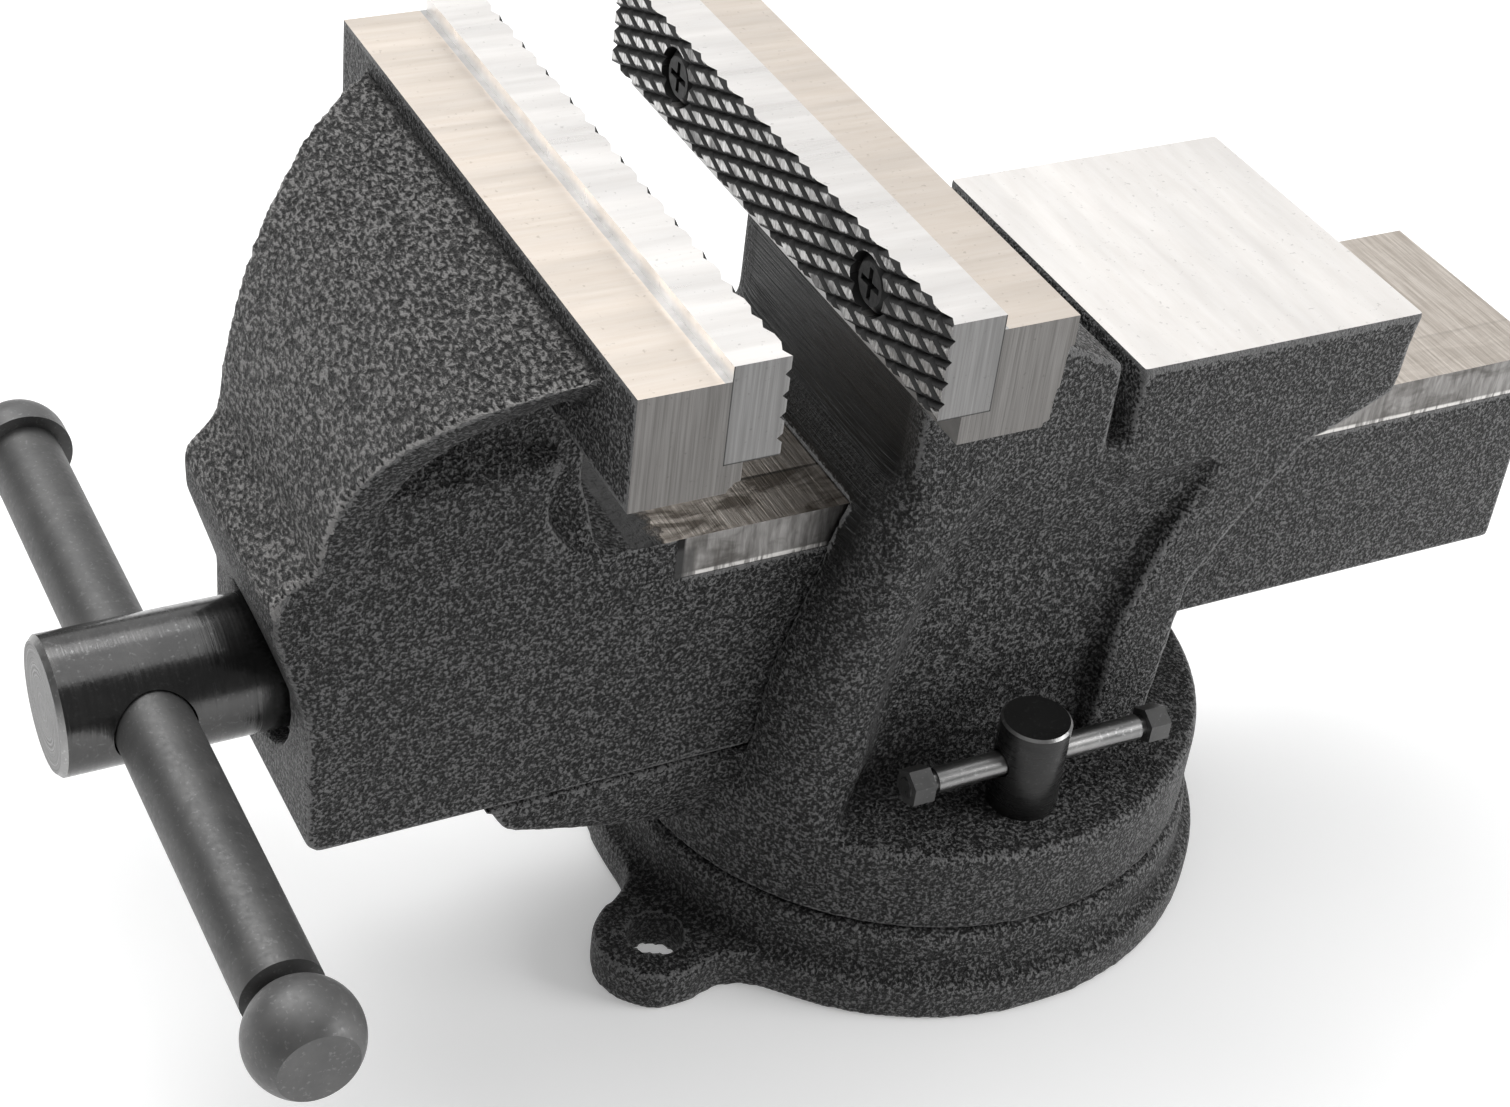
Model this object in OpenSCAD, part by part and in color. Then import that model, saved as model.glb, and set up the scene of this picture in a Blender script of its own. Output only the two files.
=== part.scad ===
// Swivel bench vise with a hooded sliding jaw, an anvil and a two-lug swivel base.
// The origin is the swivel axis at the bench. X runs from the handle to the rear,
// Y runs along the jaws and Z is up.

/* [Jaws] */
// Width of both jaws
jaw_w = 127; // [110:1:140]
// Opening between the jaw inserts as drawn
jaw_open = 28.4; // [10:0.2:60]
// Height of the machined jaw tops above the bench
jaw_top_z = 165.8; // [160:0.2:175]
// Height of the machined jaw ends
jaw_end_h = 21.2; // [20:0.2:26]
// Thickness of the sliding jaw behind its insert
moving_jaw_t = 16; // [13:0.5:18]
// Thickness of the fixed jaw behind its insert
fixed_jaw_t = 14.2; // [12:0.2:18]
// Distance from the swivel axis to the fixed gripping face
fixed_face_x = 47.2; // [44:0.2:50]

/* [Inserts] */
// Thickness of the hardened inserts
insert_t = 10; // [8:0.5:12]
// Height of the hardened inserts
insert_h = 18.5; // [16:0.5:20]
// How far an insert stands above its jaw
insert_proud = 2.8; // [1:0.2:4]
// Length of one serration diamond along the jaw
diamond_len = 10.6; // [8:0.1:14]
// Height of one serration diamond
diamond_h = 4; // [3:0.1:5.5]
// Depth of the serration grooves
groove_depth = 0.9; // [0.5:0.05:1.5]
// Width of the serration grooves at the face
groove_w = 1.5; // [1:0.1:2]
// Distance between the two screws of an insert
insert_screw_pitch = 74; // [50:1:90]
// Radius of an insert screw head
insert_screw_head_r = 5.4; // [4:0.1:6.5]
// Radius of an insert screw thread
insert_screw_r = 3; // [2:0.1:3.5]
// Length of an insert screw under its head
insert_screw_len = 17; // [14:0.5:19]

/* [Slide and hood] */
// Width of the slide
slide_w = 51; // [46:0.5:56]
// Height of the slide's machined top above the bench
slide_top_z = 104.4; // [100:0.2:108]
// Height of the slide's underside above the bench
slide_bottom_z = 57; // [54:0.5:60]
// Height of the front housing's underside above the bench
housing_bottom_z = 50.5; // [48:0.5:54]
// Distance from the swivel axis to the housing's front face
housing_front_x = 138.8; // [130:0.2:150]
// Distance from the swivel axis to the slide's rear end
slide_rear_x = 127.5; // [120:0.5:140]
// Depth of the machined strip down the slide's sides
strip_h = 8.9; // [6:0.1:12]
// Depth that the strip is cut into the sides
strip_cut = 0.4; // [0.2:0.1:1]
// Width of the screw channel inside the slide
channel_w = 31; // [30:0.5:34]
// Thickness of the slide's roof over the screw channel
slide_roof_t = 11.4; // [8:0.2:13]
// Thickness of the housing's front wall
front_wall_t = 16; // [12:0.5:20]
// Radius of the hood's outer curve
hood_r = 54.8; // [53:0.2:57]
// Thickness of the hood
hood_t = 8; // [6:0.5:10]
// Half width of the hood where it meets the jaw
hood_top_half = 52; // [46:0.5:56]
// Half width of the web under the hood
hood_web_half = 20; // [17:0.5:23]
// Height of the housing's arched shoulder above the slide
shoulder_rise = 21; // [16:0.5:24]

/* [Body] */
// Half width of the anvil and of the ribs under it
anvil_half = 35.9; // [34:0.1:40]
// Height of the anvil face above the bench
anvil_top_z = 129.4; // [125:0.2:134]
// Distance from the swivel axis to the anvil's front edge
anvil_front_x = 15.9; // [14:0.1:18]
// Distance from the swivel axis to the anvil's rear edge
anvil_rear_x = 79.8; // [74:0.2:86]
// Width of the groove in front of the anvil
anvil_groove_w = 4.9; // [3:0.1:7]
// How far the swivel flange stays inside the jaw ends
flange_inset = 2.65; // [1:0.05:5]
// Height of the flange's top above the bench
flange_top_z = 39.1; // [37:0.1:41]
// Depth of the side panels behind the ribs
panel_depth = 4.2; // [2:0.2:5]
// Distance from the swivel axis to the front tip of the chin
chin_front_x = 106; // [100:0.5:110]

/* [Base] */
// Width of the base plate's rim outside the flange
rim_w = 4.65; // [3:0.05:8]
// Thickness of the base plate's rim and lugs
rim_h = 9; // [7:0.1:11]
// Height of the seam between base and body
seam_z = 20; // [18:0.1:22]
// Distance from the edge of the base plate to the centre of a bench bolt
lug_offset = 7.9; // [6:0.1:14]
// Radius of a lug's round end
lug_r = 12.4; // [11:0.1:14]
// Radius of a bench bolt hole
lug_hole_r = 5.5; // [4.5:0.1:6]
// Angle of the rear lug from the slide
lug_angle = 22.4; // [10:0.1:40]
// Radius of the fillet between a lug and the plate
lug_fillet_r = 12; // [8:0.5:16]

/* [Spindle and handle] */
// Height of the spindle above the bench
spindle_z = 76.3; // [75:0.1:78]
// Radius of the spindle head
head_r = 12.75; // [12:0.05:13.5]
// Distance from the swivel axis to the head's outer end
head_end_x = 177.8; // [174:0.2:184]
// Radius of the spindle's thread
thread_r = 9.6; // [9:0.1:10]
// Distance from the swivel axis to the spindle's inner end
spindle_end_x = 124; // [120:0.5:126]
// Distance from the swivel axis to the handle
handle_x = 161.5; // [160:0.5:164]
// Radius of the handle bar
handle_r = 7.1; // [6.5:0.1:7.5]
// Radius of the balls on the handle
ball_r = 9.8; // [9.2:0.1:11]
// Distance from the spindle to the centre of the lower ball
ball_reach = 88; // [80:0.5:100]
// Distance from the spindle to the inner face of the knob
knob_reach = 72.5; // [65:0.5:85]

/* [Lock screws] */
// Place of a lock screw between the side panel and the edge of the flange
lock_place = 0.4906; // [0.4:0.0001:0.55]
// Radius of a lock screw head
lock_head_r = 7; // [6:0.1:7.5]
// Height of a lock screw head
lock_head_h = 20.4; // [18:0.2:24]
// Radius of a lock screw shank
lock_shank_r = 4.9; // [4.5:0.1:5]
// Height of the crossbar above the flange
lock_bar_rise = 10.9; // [9:0.1:13]
// Radius of the crossbar
lock_bar_r = 2.5; // [2:0.1:2.7]
// Length of the crossbar between its nuts
lock_bar_len = 46; // [40:0.5:50]
// How far the crossbar is pushed to the rear
lock_bar_shift = 1.6; // [0:0.1:3]
// Width across flats of the crossbar nuts
lock_nut_af = 6.6; // [6:0.1:8]
// Thickness of the crossbar nuts
lock_nut_t = 4.6; // [3.5:0.1:5.5]

/* [Hidden] */
$fn = 64;

// Clearance between faces that slide or turn past each other
run_gap = 0.35;
// Radial clearance of a shaft that turns in its bore
turn_gap = 0.08;
// Overrun of every cut
over = 1;

// Planes of the two jaws
fixed_face = -fixed_face_x;
fixed_seat = fixed_face + insert_t;
fixed_back = fixed_seat + fixed_jaw_t;
moving_face = fixed_face - jaw_open;
moving_seat = moving_face - insert_t;
moving_back = moving_seat - moving_jaw_t;
jaw_bottom_z = jaw_top_z - jaw_end_h;
insert_bottom_z = jaw_top_z + insert_proud - insert_h;
insert_screw_z = insert_bottom_z + insert_h * 0.54;
moving_ledge = insert_t * 0.35;
fixed_ledge = insert_t * 0.54;
moving_chamfer = insert_t * 0.25;
fixed_chamfer = insert_t * 0.04;
fixed_lean = insert_t * 0.2;
moving_lean = insert_t * 0.02;

// Flange, base and lock screws
flange_r = jaw_w / 2 - flange_inset;
base_r = flange_r + rim_w;
lug_reach = base_r + lug_offset;
panel_half = anvil_half - panel_depth;
lock_reach = panel_half + (flange_r - panel_half) * lock_place;

// Slide and housing
slide_half = slide_w / 2;
channel_half = channel_w / 2;
channel_top_z = slide_top_z - slide_roof_t;
housing_front = -housing_front_x;
wall_inner = housing_front + front_wall_t;
housing_end = fixed_back - insert_t;
strip_front = moving_seat + insert_t * 1.6;
edge_r = 2;

// Hood curve: its centre is placed so that the curve meets the jaw just under its top
hood_drop = 4.1;
hood_centre_x = housing_front + hood_r * 1.014;
hood_centre_z = jaw_top_z - hood_drop - sqrt(pow(hood_r, 2) - pow(moving_back - hood_centre_x, 2));
nose_reach = 6;
nose_top_z = hood_centre_z + nose_reach * 0.6;
nose_lip_z = nose_top_z - nose_reach * 1.2;
nose_lower_z = nose_lip_z - nose_reach * 1.1;
nose_foot_z = spindle_z + head_r * 0.4;
hood_overhang = 0.8;
hood_foot_half = slide_half + hood_overhang;
nose_half = slide_half - hood_overhang;
hood_steps = 14;
neck_t = 14.1;
neck_fillet_r = 14;
neck_cove = 6;
scoop_r = 13.5;
scoop_reach = 19;
scoop_lift = 0.1;
scoop_x = moving_back + scoop_reach;
scoop_z = slide_top_z + scoop_r + scoop_lift;
shoulder_z = slide_top_z + shoulder_rise;
shoulder_lift = slide_half - hood_web_half;

// Spindle parts along the axis
seat_depth = 6;
seat_margin = 2.6;
seat_r = head_r + seat_margin;
washer_t = 2;
washer_margin = 2;
washer_r = head_r + washer_margin;
journal_step = 0.3;
journal_r = thread_r + journal_step;
washer_play = 0.15;
washer_bore_r = journal_r + washer_play;
seat_x = housing_front + seat_depth;
head_face_x = seat_x - washer_t;
spring_len = 16;
spring_curls = 4;
spring_wire_r = 1.2;
spring_mean_r = (journal_r + spring_wire_r + run_gap) / cos(22.5);
collar_x = wall_inner + spring_len;
collar_t = 8;
collar_margin = 1.8;
collar_r = head_r + collar_margin;
collar_pin_r = 2;
head_chamfer = 1;
handle_hole_r = handle_r + run_gap;

// Nut block under the slide
nut_front_x = -5;
nut_len = 30;
nut_side_gap = 1;
nut_crown_t = 5.4;
nut_half = channel_half - nut_side_gap;
nut_top_z = spindle_z + thread_r + nut_crown_t;
nut_shoulder_z = spindle_z;
nut_bolt_r = 5;
nut_bolt_x = nut_front_x + nut_len * 0.3;
nut_bolt_head_h = 6.4;
nut_bolt_af = 17;
nut_bolt_tip_gap = 3;
nut_bolt_tip_z = spindle_z - thread_r - nut_bolt_tip_gap;
bolt_washer_t = 2;
bolt_washer_r = 10.5;

// Body
floor_z = housing_bottom_z - run_gap;
channel_roof_z = slide_top_z + run_gap;
body_channel_half = slide_half + run_gap;
panel_top_z = spindle_z + head_r;
pocket_r = 16;
pocket_rise = 2.5;
pocket_top_z = flange_top_z + pocket_rise;
spigot_r = 22;
spigot_drop = 12;
flange_edge_r = 1.6;
anvil_groove_depth = 16.9;
groove_floor_z = anvil_top_z - anvil_groove_depth;
anvil_slant = 5;
anvil_foot_rise = 5;
anvil_foot_z = slide_top_z + anvil_foot_rise;
gusset_rise = 5;
gusset_top_z = jaw_bottom_z + gusset_rise;
gusset_foot_rise = 2;
gusset_foot_z = anvil_top_z + gusset_foot_rise;
rib_w = 16;
rib_top_inset = 13;
rib_top_x = anvil_rear_x - rib_top_inset;
rib_lean = 32;
rib_foot_x = rib_top_x - rib_lean;
rib_bend_drop = 2;
rib_bend_z = spindle_z - rib_bend_drop;
chin_step = 0.3;
chin_half = slide_half - chin_step;
chin_round = 8;

// Column outline from the flange to the jaw. Its levels are shares of its height
column_sink = 3;
column_foot_z = flange_top_z - column_sink;
column_h = jaw_bottom_z + over - column_foot_z;
column_z_share = [0, 0.028, 0.07, 0.137, 0.239, 0.322, 0.405, 0.478, 0.543, 0.598, 0.644, 0.7,
    0.755, 0.829, 1];
// Reach of the front face at each level, as a share of the flange radius
column_front_share = [0.908, 0.908, 0.875, 0.848, 0.825, 0.799, 0.748, 0.703, 0.661, 0.628, 0.588,
    0.529, 0.491, 0.482, 0.477];
// Depth of the rounded corner at each level, as a share of the flange radius
column_corner_share = [0.214, 0.214, 0.23, 0.24, 0.23, 0.215, 0.19, 0.164, 0.14, 0.107, 0.099,
    0.09, 0.082, 0.082, 0.082];
// Place of the crest behind that corner, as a share of the flange radius
column_crest_share = [0.69, 0.69, 0.645, 0.605, 0.59, 0.565, 0.53, 0.495, 0.45, 0.4, 0.33,
    0.26, 0.205, 0.3, 0.39];
// Length of the slope from the crest to the panel, as a share of the flange radius
column_slope_share = [0.2, 0.2, 0.2, 0.2, 0.2, 0.2, 0.2, 0.2, 0.2, 0.2, 0.2, 0.2, 0.2, 0.1, 0.05];
// Half width at each level, as a share of the anvil's half width
column_half_share = [1.212, 1.212, 1.17, 1.137, 1.125, 1.12, 1.114, 1.114, 1.114, 1.103, 1.07, 1.03,
    1.005, 1, 1];
// Rise and fall of the slope from the crest to the panel
slope_length_share = [0.25, 0.5, 0.75, 1];
slope_fall_share = [0.15, 0.5, 0.85, 1];
column_front_x = -30;
flush_gap = 0.05;
corner_steps = 8;

// Base
slot_wide_r = 9.5;
slot_narrow_r = 5.2;
slot_floor_z = 4.5;
slot_shoulder_z = 12.5;
base_bore_r = spigot_r + turn_gap;
rim_edge = 0.5;
roll_margin = 1.4;
roll_r = flange_r + roll_margin;
roll_foot = 1.9;
roll_edge = 2.4;
roll_steps = 5;
entry_len = 21;
fillet_reach = base_r + lug_fillet_r;
lug_fillet_reach = lug_r + lug_fillet_r;
fillet_angle = acos((pow(fillet_reach, 2) + pow(lug_reach, 2) - pow(lug_fillet_reach, 2))
    / (2 * fillet_reach * lug_reach));

// Lock screws
lock_hole_r = lock_shank_r + run_gap;
lock_bar_z = flange_top_z + lock_bar_rise;
lock_bar_end_r = lock_bar_r * 0.76;
lock_bar_neck = 1.4;
lock_nut_gap = 0.04;
tee_nut_gap = 0.25;
tee_nut_len = 17.4;
tee_nut_w = 16.6;
tee_neck_w = 9.2;
lock_tip_gap = 1;
lock_tip_z = slot_floor_z + lock_tip_gap;

// Extrudes an outline drawn in X and Z by a half width to both sides of Y
module across(half) {
    rotate([90, 0, 0]) linear_extrude(2 * half, center = true) children();
}

// Extrudes an outline drawn in Y and Z along X from one place to another
module along(from_x, to_x) {
    translate([from_x, 0, 0]) rotate([90, 0, 90]) linear_extrude(to_x - from_x) children();
}

// Cylinder along X from one place to another at the spindle's height
module rod_x(r, from_x, to_x) {
    translate([from_x, 0, spindle_z]) rotate([0, 90, 0]) cylinder(r = r, h = to_x - from_x);
}

// Box between two corners
module block(low, high) {
    translate(low) cube(high - low);
}

// Points of an arc in degrees
function arc(centre, r, from_a, to_a, steps) =
    [for (i = [0:steps]) let (a = from_a + (to_a - from_a) * i / steps)
        centre + r * [cos(a), sin(a)]];

// Closed skin over a stack of outlines that all have the same number of points
module loft(rings) {
    sides = len(rings[0]);
    levels = len(rings);
    points = [for (ring = rings) each ring];
    skin = [for (j = [0:levels - 2], i = [0:sides - 1]) let (k = (i + 1) % sides)
        each [[j * sides + i, (j + 1) * sides + k, j * sides + k],
            [j * sides + i, (j + 1) * sides + i, (j + 1) * sides + k]]];
    low = [[for (i = [0:sides - 1]) i]];
    high = [[for (i = [sides - 1:-1:0]) (levels - 1) * sides + i]];
    polyhedron(points = points, faces = concat(skin, low, high));
}

// Swivel base

// Outline of one lug with its round end and concave fillets
module lug_plan() {
    difference() {
        union() {
            translate([lug_reach, 0]) circle(lug_r);
            for (side = [-1, 1]) {
                polygon([[0, 0], [lug_reach, 0],
                    fillet_reach * [cos(fillet_angle), side * sin(fillet_angle)]]);
            }
        }
        for (side = [-1, 1]) {
            translate(fillet_reach * [cos(fillet_angle), side * sin(fillet_angle)])
                circle(lug_fillet_r);
        }
    }
}

// Cross-section of the round base: flat rim, hollow foot and rounded upper edge
module base_section() {
    polygon(concat(
        [[base_bore_r, 0], [base_r, 0], [base_r, rim_h - rim_edge], [base_r - rim_edge, rim_h]],
        arc([roll_r + roll_foot, rim_h + roll_foot], roll_foot, 270, 180, roll_steps),
        arc([roll_r - roll_edge, seam_z - roll_edge], roll_edge, 0, 90, roll_steps),
        [[base_bore_r, seam_z]]));
}

module swivel_base() {
    color("#26282a")
    difference() {
        union() {
            rotate_extrude($fn = 96) base_section();
            for (turn = [0, 180]) {
                rotate([0, 0, lug_angle + turn]) linear_extrude(rim_h)
                    difference() {
                        lug_plan();
                        circle(base_bore_r + over);
                    }
            }
        }
        for (turn = [0, 180]) {
            rotate([0, 0, lug_angle + turn]) translate([lug_reach, 0, -over])
                cylinder(r = lug_hole_r, h = rim_h + 2 * over);
        }
        rotate_extrude($fn = 96) polygon([
            [lock_reach - slot_wide_r, slot_floor_z], [lock_reach + slot_wide_r, slot_floor_z],
            [lock_reach + slot_wide_r, slot_shoulder_z], [lock_reach + slot_narrow_r, slot_shoulder_z],
            [lock_reach + slot_narrow_r, seam_z + over], [lock_reach - slot_narrow_r, seam_z + over],
            [lock_reach - slot_narrow_r, slot_shoulder_z], [lock_reach - slot_wide_r, slot_shoulder_z]]);
        rotate([0, 0, lug_angle + 90])
            block([lock_reach - slot_wide_r, -entry_len / 2, -over],
                [lock_reach + slot_wide_r, entry_len / 2, slot_floor_z + over]);
    }
}

// Fixed body

function column_level(i) = column_foot_z + column_h * column_z_share[i];

// Half outline of the column at one level, from the front centre to the panel
function column_side(i) =
    let (half = anvil_half * column_half_share[i],
        depth = flange_r * column_corner_share[i],
        front = -flange_r * column_front_share[i],
        crest = -flange_r * column_crest_share[i],
        slope = flange_r * column_slope_share[i],
        flat = slide_half - run_gap)
    concat(
        [[front, 0]],
        [for (k = [0:corner_steps]) let (a = 90 * k / corner_steps)
            [front + depth * (1 - cos(a)), flat + (half - flat) * sin(a)]],
        [[crest, half]],
        [for (k = [0:len(slope_length_share) - 1])
            [crest + slope * slope_length_share[k],
                half + (panel_half - half) * slope_fall_share[k]]],
        [[crest + slope + run_gap, panel_half]]);

// Full outline of the column at one level
function column_ring(i) =
    let (side = column_side(i), n = len(side), z = column_level(i))
    concat(
        [for (p = side) [p[0], -p[1], z]],
        [for (k = [n - 1:-1:1]) [side[k][0], side[k][1], z]]);

// Front column that flares from the neck under the jaw and runs out flush with the flange
module column() {
    intersection() {
        loft([for (i = [0:len(column_z_share) - 1]) column_ring(i)]);
        cylinder(r = flange_r - flush_gap, h = jaw_top_z, $fn = 96);
    }
}

// Outline of the ribs and anvil seen from the side
module rib_side() {
    polygon([
        [rib_foot_x - rib_w * 0.85, column_foot_z], [rib_foot_x, column_foot_z],
        [rib_foot_x + rib_w * 0.24, rib_bend_z], [rib_foot_x + rib_w * 0.62, rib_bend_z + rib_w * 0.6],
        [rib_top_x - rib_w * 0.66, anvil_foot_z - rib_w * 0.6], [rib_top_x - rib_w * 0.25, anvil_foot_z],
        [rib_top_x - rib_w * 1.5, anvil_foot_z + rib_w * 0.2],
        [rib_foot_x - rib_w * 0.38, rib_bend_z + rib_w * 0.6],
        [rib_foot_x - rib_w * 0.72, rib_bend_z - rib_w * 0.4]]);
}

// Outline of the anvil seen from the side
module anvil_side() {
    polygon([
        [anvil_front_x, anvil_top_z], [anvil_rear_x, anvil_top_z],
        [anvil_rear_x - anvil_slant * 0.35, anvil_foot_z + anvil_slant * 0.4],
        [anvil_rear_x - anvil_slant * 1.3, anvil_foot_z],
        [rib_top_x - rib_w * 0.25, anvil_foot_z - anvil_slant],
        [anvil_front_x, anvil_foot_z - anvil_slant], [anvil_front_x, groove_floor_z]]);
}

// Outline of the web between column and ribs, with the gusset up to the jaw
module web_side() {
    polygon([
        [column_front_x, column_foot_z], [rib_foot_x - rib_w * 0.4, column_foot_z],
        [rib_foot_x - rib_w * 0.4, rib_bend_z], [rib_top_x - rib_w, anvil_foot_z],
        [anvil_front_x + anvil_groove_w, anvil_top_z - anvil_slant],
        [anvil_front_x, groove_floor_z], [anvil_front_x - anvil_groove_w, groove_floor_z],
        [anvil_front_x - anvil_groove_w, gusset_foot_z],
        [fixed_back - over, gusset_top_z], [column_front_x, jaw_bottom_z]]);
}

// Cross-section of the web: level with the anvil above, recessed as a panel below
module web_section() {
    polygon([
        [-panel_half, column_foot_z], [panel_half, column_foot_z],
        [panel_half, panel_top_z], [anvil_half, groove_floor_z + over],
        [anvil_half, jaw_top_z], [-anvil_half, jaw_top_z],
        [-anvil_half, groove_floor_z + over], [-panel_half, panel_top_z]]);
}

// Chin that carries the housing in front of the flange
module chin() {
    intersection() {
        across(chin_half) polygon(concat(
            [[-chin_front_x, floor_z]],
            arc([-chin_front_x + chin_round * 1.4, floor_z], chin_round, 190, 250, corner_steps),
            [[-flange_r - chin_round * 2.6, flange_top_z - chin_round * 0.3],
                [-flange_r + chin_round, seam_z + chin_round * 1.1],
                [-flange_r + chin_round * 4, seam_z + chin_round * 1.1],
                [-flange_r + chin_round * 4, floor_z]]));
        along(-chin_front_x - over, 0) polygon([
            [-chin_half, floor_z + over], [-chin_half, flange_top_z + chin_round * 0.5],
            [-chin_half + chin_round, seam_z], [chin_half - chin_round, seam_z],
            [chin_half, flange_top_z + chin_round * 0.5], [chin_half, floor_z + over]]);
    }
}

// Swivel flange with its spigot
module flange() {
    rotate_extrude($fn = 96) polygon(concat(
        [[pocket_r, seam_z - spigot_drop], [spigot_r, seam_z - spigot_drop],
            [spigot_r, seam_z], [flange_r, seam_z]],
        arc([flange_r - flange_edge_r, flange_top_z - flange_edge_r], flange_edge_r, 0, 90, 4),
        [[pocket_r, flange_top_z]]));
}

// Jaw end seen from the side, with the seat and the short ledge under its insert
module jaw_side(seat, back, ledge, chamfer, lean) {
    front = seat + ledge;
    polygon([
        [back, jaw_top_z], [seat, jaw_top_z], [seat, insert_bottom_z], [front, insert_bottom_z],
        [front, jaw_bottom_z + abs(chamfer)], [front - chamfer, jaw_bottom_z],
        [back + lean * 1.4, jaw_bottom_z], [back + lean, jaw_bottom_z + abs(lean) * 0.6],
        [back, jaw_top_z - insert_t * 0.2]]);
}

// Threaded holes behind the two screws of an insert
module insert_screw_holes(seat, dir) {
    for (side = [-1, 1]) {
        translate([seat, side * insert_screw_pitch / 2, insert_screw_z]) rotate([0, dir * 90, 0])
            translate([0, 0, -over]) cylinder(r = insert_screw_r + turn_gap,
                h = insert_screw_len + insert_screw_r - insert_t + 2 * over, $fn = 32);
    }
}

module fixed_body() {
    color("#2a2c2e")
    difference() {
        union() {
            flange();
            column();
            intersection() {
                across(anvil_half) web_side();
                along(-flange_r, anvil_rear_x) web_section();
            }
            across(anvil_half) rib_side();
            across(anvil_half) anvil_side();
            chin();
            across(jaw_w / 2) jaw_side(fixed_seat, fixed_back, -fixed_ledge, -fixed_chamfer,
                -fixed_lean);
        }
        block([-chin_front_x - over, -body_channel_half, floor_z],
            [anvil_rear_x + over, body_channel_half, channel_roof_z]);
        translate([0, 0, seam_z - spigot_drop - over])
            cylinder(r = pocket_r, h = pocket_top_z - seam_z + spigot_drop + over);
        translate([nut_bolt_x, 0, 0]) cylinder(r = nut_bolt_r + run_gap, h = floor_z + over, $fn = 48);
        for (side = [-1, 1]) {
            translate([0, side * lock_reach, seam_z - over])
                cylinder(r = lock_hole_r, h = flange_top_z - seam_z + 2 * over, $fn = 48);
        }
        insert_screw_holes(fixed_seat, 1);
    }
}

// Inserts and their screws

// One straight serration groove across the gripping face
module serration(y, angle) {
    reach = jaw_w;
    translate([0, y, insert_bottom_z + insert_h / 2]) rotate([angle, 0, 0])
        translate([0, -reach / 2, 0]) rotate([-90, 0, 0]) linear_extrude(reach)
            polygon([[-groove_depth, 0], [over, -groove_w / 2 * (1 + over / groove_depth)],
                [over, groove_w / 2 * (1 + over / groove_depth)]]);
}

// Insert drawn with its gripping face at zero, pointing to positive X
module insert() {
    slope = atan2(diamond_h, diamond_len);
    count = ceil((jaw_w + insert_h / tan(slope)) / diamond_len / 2);
    difference() {
        block([-insert_t, -jaw_w / 2, insert_bottom_z], [0, jaw_w / 2, insert_bottom_z + insert_h]);
        for (k = [-count:count], tilt = [-1, 1]) {
            serration((k + 0.5) * diamond_len, tilt * slope);
        }
        for (side = [-1, 1]) {
            translate([-insert_t - over, side * insert_screw_pitch / 2, insert_screw_z])
                rotate([0, 90, 0]) cylinder(r = insert_screw_r + turn_gap, h = insert_t + 2 * over, $fn = 32);
            translate([-insert_t * 0.42, side * insert_screw_pitch / 2, insert_screw_z])
                rotate([0, 90, 0]) cylinder(r = insert_screw_head_r + run_gap, h = insert_t, $fn = 40);
        }
    }
}

// Two pan-head screws with crossed slots, drawn for the same insert
module insert_screws() {
    head_t = insert_t * 0.36;
    seat = -insert_t * 0.42;
    slot_w = insert_screw_head_r * 0.22;
    slot_len = insert_screw_head_r * 1.1;
    for (side = [-1, 1]) {
        translate([seat, side * insert_screw_pitch / 2, insert_screw_z]) rotate([0, 90, 0]) {
            difference() {
                union() {
                    translate([0, 0, seat + insert_t - insert_screw_len])
                        cylinder(r = insert_screw_r, h = insert_screw_len - seat - insert_t, $fn = 32);
                    cylinder(r = insert_screw_head_r, h = head_t * 0.6, $fn = 40);
                    translate([0, 0, head_t * 0.6])
                        cylinder(r1 = insert_screw_head_r, r2 = insert_screw_head_r * 0.72,
                            h = head_t * 0.4, $fn = 40);
                }
                for (turn = [0, 90]) {
                    rotate([0, 0, turn]) translate([0, 0, head_t])
                        cube([slot_len, slot_w, head_t], center = true);
                }
            }
        }
    }
}

module fixed_insert() {
    color("#c9c9c6") translate([fixed_face, 0, 0]) mirror([1, 0, 0]) insert();
}

module moving_insert() {
    color("#c9c9c6") translate([moving_face, 0, 0]) insert();
}

module fixed_insert_screws() {
    color("#1c1c1c") translate([fixed_face, 0, 0]) mirror([1, 0, 0]) insert_screws();
}

module moving_insert_screws() {
    color("#1c1c1c") translate([moving_face, 0, 0]) insert_screws();
}

// Sliding jaw

// Side view of the housing and slide, with the arched shoulder and the scoop behind it
module housing_side() {
    difference() {
        union() {
            polygon([
                [housing_front + edge_r, housing_bottom_z], [housing_end, housing_bottom_z],
                [housing_end, slide_bottom_z], [slide_rear_x, slide_bottom_z],
                [slide_rear_x, slide_top_z], [scoop_x, slide_top_z], [housing_front, slide_top_z],
                [housing_front, housing_bottom_z + edge_r]]);
            shoulder_side();
        }
        translate([scoop_x, scoop_z]) circle(scoop_r, $fn = 64);
    }
}

// Side view of the arched shoulder of the housing
module shoulder_side() {
    polygon([
        [scoop_x, slide_top_z - hood_t], [scoop_x, shoulder_z - hood_t * 0.6],
        [moving_back + hood_t * 0.8, shoulder_z - hood_t * 0.5],
        [moving_back - hood_t * 0.1, shoulder_z - hood_t * 0.18],
        [moving_back - hood_t * 0.8, shoulder_z - hood_t * 0.05],
        [moving_back - hood_t * 1.7, shoulder_z],
        [moving_back - hood_t * 2.8, shoulder_z - hood_t * 0.1],
        [moving_back - hood_t * 3.4, shoulder_z - hood_t * 0.22],
        [moving_back - hood_t * 3.9, shoulder_z - hood_t * 0.5],
        [housing_front + hood_t * 0.4, shoulder_z - hood_t * 1.15],
        [housing_front, nose_top_z], [housing_front, slide_top_z - hood_t]]);
}

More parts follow.
